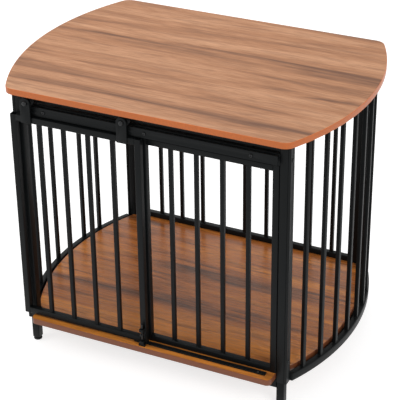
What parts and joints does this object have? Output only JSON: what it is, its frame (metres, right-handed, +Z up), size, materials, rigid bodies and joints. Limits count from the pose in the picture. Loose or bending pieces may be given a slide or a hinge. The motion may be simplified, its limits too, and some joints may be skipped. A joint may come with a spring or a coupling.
{
  "type": "dog crate end table",
  "caption": "Bow-ended wooden end table on a black square-tube pet crate with upright bars, a wooden floor board and a sliding barred door hung on rollers from a front track",
  "frame": {"origin": "On the floor, in the middle of the overall length and depth", "axes": "+X to the right along the front, the table's long direction; +Y to the back, away from the sliding door; +Z up"},
  "size_m": [0.8498, 0.611, 0.7],
  "materials": {
    "wood_board": "printed rustic oak melamine on particle board, satin",
    "wood_edge_band": "thin plain brown edge banding, satin",
    "black_frame": "matte black powder coat on steel",
    "black_steel": "black oxide steel, satin",
    "zinc_steel": "zinc plated steel",
    "black_plastic": "black nylon, matte"
  },
  "bodies": {
    "crate_frame": {"back_base_rail": "black_frame", "back_panel_bars": "black_frame", "back_panel_bottom_rail": "black_frame", "back_panel_left_stile": "black_frame", "back_panel_right_stile": "black_frame", "back_panel_top_rail": "black_frame", "back_top_rail": "black_frame", "fixed_panel_bars": "black_frame", "fixed_panel_bottom_rail": "black_frame", "fixed_panel_left_stile": "black_frame", "fixed_panel_right_stile": "black_frame", "fixed_panel_top_rail": "black_frame", "floor_board": "wood_board", "floor_board_edge_band": "wood_edge_band", "floor_board_screws": "zinc_steel", "floor_braces": "black_frame", "foot_glides": "black_plastic", "front_base_rail": "black_frame", "front_top_rail": "black_frame", "guide_channel": "black_frame", "guide_channel_screws": "zinc_steel", "latch_keeper": "black_frame", "left_side_bars": "black_frame", "left_side_bottom_rail": "black_frame", "left_side_stiles": "black_frame", "left_side_top_rail": "black_frame", "leg_back_left": "black_frame", "leg_back_right": "black_frame", "leg_front_left": "black_frame", "leg_front_right": "black_frame", "panel_bolts": "black_steel", "post_back_left": "black_frame", "post_back_right": "black_frame", "post_front_left": "black_frame", "post_front_right": "black_frame", "right_side_bars": "black_frame", "right_side_bottom_rail": "black_frame", "right_side_stiles": "black_frame", "right_side_top_rail": "black_frame", "side_panel_bolts": "black_steel", "table_top": "wood_board", "table_top_edge_band": "wood_edge_band", "table_top_screws": "zinc_steel", "track_bar": "black_frame", "track_bolts": "black_steel", "track_rail": "black_frame", "track_spacers": "black_frame"},
    "sliding_door": {"door_left_stile": "black_frame", "door_right_stile": "black_frame", "door_top_rail": "black_frame", "door_bottom_rail": "black_frame", "door_bars": "black_frame", "hanger_left": "black_frame", "hanger_right": "black_frame", "roller_axles": "black_steel", "door_guide_pin": "black_plastic", "latch_housing": "black_frame"},
    "left_roller": {"roller_left": "black_plastic"},
    "right_roller": {"roller_right": "black_plastic"},
    "drop_bolt": {"latch_bolt": "black_steel"}
  },
  "joints": [
    {"name": "door_slide", "type": "slide", "parent": "crate_frame", "child": "sliding_door", "axis": [1, 0, 0], "range_m": [0, 0.324]},
    {"name": "left_roller_turn", "type": "hinge", "parent": "sliding_door", "child": "left_roller", "pos_m": [-0.298, -0.2805, 0.6697], "axis": [0, 1, 0], "continuous": true},
    {"name": "right_roller_turn", "type": "hinge", "parent": "sliding_door", "child": "right_roller", "pos_m": [-0.05, -0.2805, 0.6697], "axis": [0, 1, 0], "continuous": true},
    {"name": "latch_drop", "type": "slide", "parent": "sliding_door", "child": "drop_bolt", "axis": [0, 0, 1], "range_m": [-0.0085, 0]}
  ],
  "couplings": [
    {"joint": "left_roller_turn", "follows": "door_slide", "rad_per_m": 95.238},
    {"joint": "right_roller_turn", "follows": "door_slide", "rad_per_m": 95.238}
  ]
}
